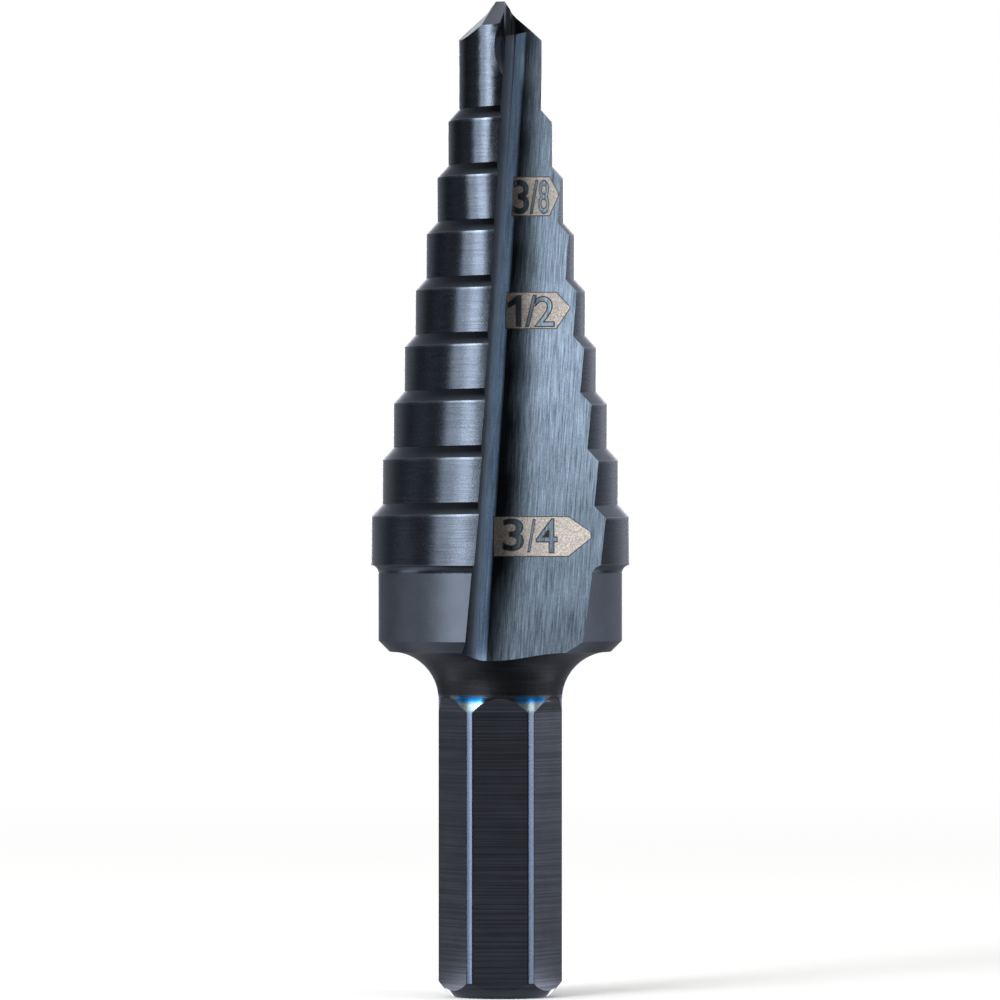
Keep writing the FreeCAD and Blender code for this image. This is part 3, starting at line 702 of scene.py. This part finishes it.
# %% Finish
ROOT_METAL = 0.25
ROUGH = {"land": 0.26, "flute": 0.40, "turned": 0.57, "cone": 0.42, "flat": 0.19, "corner": 0.27}
finish = add(tree, "Mix", {0: is_flute, 2: ROUGH["land"], 3: ROUGH["flute"]})
turned_skin = add(tree, "Math", {0: on_collar, 1: below_collar}, operation="MAXIMUM")
finish = add(tree, "Mix", {0: turned_skin, 2: finish, 3: ROUGH["turned"]})
finish = add(tree, "Mix", {0: is_cone, 2: finish, 3: ROUGH["cone"]})
finish = add(tree, "Mix", {0: is_shank, 2: finish, 3: ROUGH["flat"]})
finish = add(tree, "Mix", {0: is_corner, 2: finish, 3: ROUGH["corner"]})
uneven = add(tree, "MapRange", {0: grain, 1: 0.3, 2: 0.7, 3: 0.9, 4: 1.1})
uneven = add(tree, "Mix", {0: is_shank, 2: uneven, 3: 1.0})
finish = add(tree, "Math", {0: finish, 1: uneven}, operation="MULTIPLY")
in_root = add(tree, "MapRange", {0: likeness, 1: 0.78, 2: 0.88, 3: 0.0, 4: 1.0})
in_root = add(tree, "Math", {0: in_root, 1: is_flute}, operation="MULTIPLY")
off_wall = add(tree, "Math", {0: 1.0, 1: is_wall}, operation="SUBTRACT")
in_root = add(tree, "Math", {0: in_root, 1: off_wall}, operation="MULTIPLY")
no_gash = add(tree, "Math", {0: is_gash, 1: shaded_above_split}, operation="MAXIMUM")
in_root = add(tree, "Mix", {0: no_gash, 2: in_root, 3: 0.0})
bare = add(tree, "Mix", {0: in_root, 2: 1.0, 3: ROOT_METAL})
shader = add(tree, "BsdfPrincipled", {
    "Base Color": colour, "Metallic": bare, "Roughness": finish, "Normal": bumped,
    "Anisotropic": 0.65, "Tangent": wide_way, "Specular Tint": linear("#EEF1FB")})
add(tree, "OutputMaterial", {"Surface": shader})
print("steel has", len(tree.nodes), "nodes")

# %% [markdown]
# ## Laser field and burnt edge
# The field is the same oxide after the laser has opened it: rough, tan, and speckled by the pulses,
# with painted shade toward the root of the flute. The burnt edge is nearly black.

# %% Laser finishes
laser = new_material("laser_annealed_oxide")
tree = laser.node_tree
spot = add(tree, "TexCoord", whole=True).outputs["Object"]
spot = add(tree, "VectorMath", {0: spot, "Scale": 1000.0}, operation="SCALE")
pulses = add(tree, "TexNoise", {"Vector": spot, "Scale": 9.0, "Detail": 3.0, "Roughness": 0.7})
pulses = add(tree, "MapRange", {0: pulses, 1: 0.36, 2: 0.64, 3: 0.0, 4: 1.0})
tan_colour = add(tree, "MixRGB", {0: pulses, 1: linear("#625E5B"), 2: linear("#99938D")})
xyz = add(tree, "SeparateXYZ", {0: spot}, whole=True).outputs
from_root = add(tree, "Math", {0: xyz["Z"], 1: -LEAN, 2: xyz["X"]}, operation="MULTIPLY_ADD")
# painted shade: the field is darkened toward the root, as the wall beside it is
painted_shade_toward_root = add(tree, "MapRange", {0: from_root, 1: -2.2, 2: 2.0, 3: 0.55, 4: 1.0})
tan_colour = add(tree, "VectorMath", {0: tan_colour, "Scale": painted_shade_toward_root}, operation="SCALE")
facing = add(tree, "NewGeometry", whole=True).outputs["Normal"]
sideways = add(tree, "VectorMath", {0: facing, 1: (0, 0, 1)}, operation="CROSS_PRODUCT")
shader = add(tree, "BsdfPrincipled", {
    "Base Color": tan_colour, "Metallic": 0.6, "Roughness": 0.46,
    "Anisotropic": 0.5, "Tangent": sideways})
add(tree, "OutputMaterial", {"Surface": shader})
print("laser field has", len(tree.nodes), "nodes")

burnt = new_material("laser_burnt_oxide")
tree = burnt.node_tree
spot = add(tree, "TexCoord", whole=True).outputs["Object"]
soot = add(tree, "TexNoise", {"Vector": spot, "Scale": 9000.0, "Detail": 2.0})
black = add(tree, "MixRGB", {0: soot, 1: linear("#08090A"), 2: linear("#191714")})
shader = add(tree, "BsdfPrincipled", {"Base Color": black, "Metallic": 0.3, "Roughness": 0.6})
add(tree, "OutputMaterial", {"Surface": shader})
print("burnt edge has", len(tree.nodes), "nodes")

# %% [markdown]
# ## Smooth where turned, sharp where ground
# The construction model arrives as loose triangles. Welding joins them, and an angle then
# decides which edges stay sharp: two faces that meet at less than 24 degrees belong to one
# curved surface and are shaded as one, and all other edges stay crisp. Where a flat runs
# into a curve, the flat has the larger faces. Weighing the normals by area keeps it flat
# up to its border, and all the bending is left to the curve.

# %% Shading of the solid
CREASE = 24               # degrees


def smooth_by_angle(piece, degrees):
    """Welds the triangles, shades them smooth, and keeps every edge sharper than the angle."""
    weld = piece.modifiers.new("weld", "WELD")
    weld.merge_threshold = 0.002 * MM
    group = bpy.data.node_groups.new("smooth_by_angle", "GeometryNodeTree")
    group.interface.new_socket("Geometry", in_out="INPUT", socket_type="NodeSocketGeometry")
    group.interface.new_socket("Geometry", in_out="OUTPUT", socket_type="NodeSocketGeometry")
    start = group.nodes.new("NodeGroupInput")
    end = group.nodes.new("NodeGroupOutput")
    whole = group.nodes.new("GeometryNodeSetShadeSmooth")
    sharp = group.nodes.new("GeometryNodeSetShadeSmooth")
    sharp.domain = "EDGE"
    sharp.inputs["Shade Smooth"].default_value = False
    angle = group.nodes.new("GeometryNodeInputMeshEdgeAngle")
    more = group.nodes.new("FunctionNodeCompare")
    more.operation = "GREATER_THAN"
    more.inputs[1].default_value = radians(degrees)
    link = group.links.new
    link(start.outputs[0], whole.inputs["Geometry"])
    link(whole.outputs[0], sharp.inputs["Geometry"])
    link(angle.outputs["Unsigned Angle"], more.inputs[0])
    link(more.outputs[0], sharp.inputs["Selection"])
    link(sharp.outputs[0], end.inputs[0])
    shade = piece.modifiers.new("smooth_by_angle", "NODES")
    shade.node_group = group
    weigh = piece.modifiers.new("weigh_by_area", "WEIGHTED_NORMAL")
    weigh.mode = "FACE_AREA"
    weigh.weight = 50
    weigh.keep_sharp = True


smooth_by_angle(drill, CREASE)
print("edges sharper than", CREASE, "degrees stay crisp")

# %% [markdown]
# ## Put it together
# Each piece gets its finish. The plates could be made children of the drill. They ride on its body
# instead, because that body is what the physics model knows.

# %% Finishes and bodies
DRESS = ((fields, laser), (rims, burnt), (edges, burnt), (figures, steel), ([drill], steel))
for pieces, finish in DRESS:
    for piece in pieces:
        piece.data.materials.clear()
        piece.data.materials.append(finish)
        if piece is not drill:
            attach(piece, "root")
print(sum(len(pieces) for pieces, finish in DRESS), "pieces dressed")
